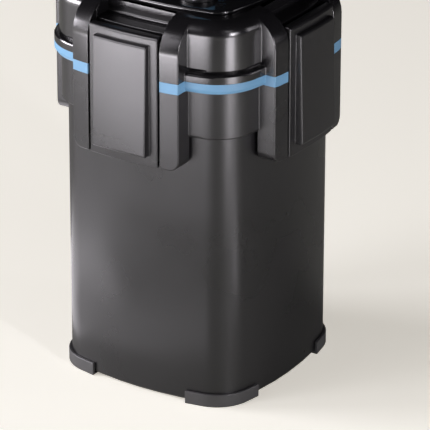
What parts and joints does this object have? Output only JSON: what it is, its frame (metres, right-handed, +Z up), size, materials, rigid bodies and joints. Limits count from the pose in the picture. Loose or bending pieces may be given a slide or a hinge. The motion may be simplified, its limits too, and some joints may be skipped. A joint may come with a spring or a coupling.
{
  "type": "canister filter",
  "caption": "Square canister aquarium filter with bulged sides, a clamped head with lever latches, a coloured band, hose tails, stacked media baskets and an impeller pump.",
  "frame": {"origin": "centre of the footprint, on the floor plane under the corner pads", "axes": "+Z up; -Y is the side with the hose connectors, +X is the side to its right"},
  "size_m": [0.2, 0.2, 0.32],
  "materials": {
    "tub_plastic": "satin",
    "head_plastic": "satin",
    "cover_plastic": "satin",
    "latch_plastic": "satin",
    "band_plastic": "satin",
    "rubber": "matte",
    "inner_plastic": "matte",
    "screw_steel": "brushed",
    "sponge": "open foam",
    "ceramic": "unglazed",
    "pad_fibre": "felted",
    "core_iron": "laminated",
    "coil_copper": "enamelled",
    "magnet": "ground",
    "impeller_plastic": "matte",
    "fitting_plastic": "satin",
    "lever_plastic": "satin"
  },
  "bodies": {
    "root": {"canister": "tub_plastic", "corner_feet": "rubber", "color_band": "band_plastic", "main_seal": "rubber", "head_shell": "head_plastic", "head_plate": "inner_plastic", "plate_screws": "screw_steel", "top_cover": "cover_plastic", "cover_screws": "screw_steel", "latch_pins": "screw_steel", "basket_lower": "inner_plastic", "basket_middle": "inner_plastic", "basket_upper": "inner_plastic", "coarse_sponge": "sponge", "ceramic_rings": "ceramic", "fine_pad": "pad_fibre", "intake_tube": "inner_plastic", "strainer": "inner_plastic", "stator_core": "core_iron", "stator_coils": "coil_copper", "pump_shaft": "screw_steel", "shaft_bushes": "rubber", "pump_cover": "inner_plastic", "inlet_connector": "fitting_plastic", "outlet_connector": "fitting_plastic", "union_nuts": "fitting_plastic", "spigot_seals": "rubber", "cable_gland": "rubber"},
    "front_latch": {"latch_front": "latch_plastic"},
    "right_latch": {"latch_right": "latch_plastic"},
    "back_latch": {"latch_back": "latch_plastic"},
    "left_latch": {"latch_left": "latch_plastic"},
    "rotor": {"rotor_magnet": "magnet", "impeller": "impeller_plastic"},
    "inlet_valve": {"inlet_lever": "lever_plastic"},
    "outlet_valve": {"outlet_lever": "lever_plastic"}
  },
  "joints": [
    {"name": "front_latch_hinge", "type": "hinge", "parent": "root", "child": "front_latch", "pos_m": [0, -0.088, 0.2728], "axis": [-1, 0, 0], "range_deg": [0, 100]},
    {"name": "right_latch_hinge", "type": "hinge", "parent": "root", "child": "right_latch", "pos_m": [0.088, 0, 0.2728], "axis": [0, -1, 0], "range_deg": [0, 100]},
    {"name": "back_latch_hinge", "type": "hinge", "parent": "root", "child": "back_latch", "pos_m": [0, 0.088, 0.2728], "axis": [1, 0, 0], "range_deg": [0, 100]},
    {"name": "left_latch_hinge", "type": "hinge", "parent": "root", "child": "left_latch", "pos_m": [-0.088, 0, 0.2728], "axis": [0, 1, 0], "range_deg": [0, 100]},
    {"name": "impeller_spin", "type": "hinge", "parent": "root", "child": "rotor", "pos_m": [0, 0.012, 0.226], "axis": [0, 0, 1], "continuous": true},
    {"name": "inlet_lever_turn", "type": "hinge", "parent": "root", "child": "inlet_valve", "pos_m": [0.03, -0.045, 0.2963], "axis": [0, 0, -1], "range_deg": [0, 90]},
    {"name": "outlet_lever_turn", "type": "hinge", "parent": "root", "child": "outlet_valve", "pos_m": [-0.03, -0.045, 0.2963], "axis": [0, 0, 1], "range_deg": [0, 90]}
  ]
}
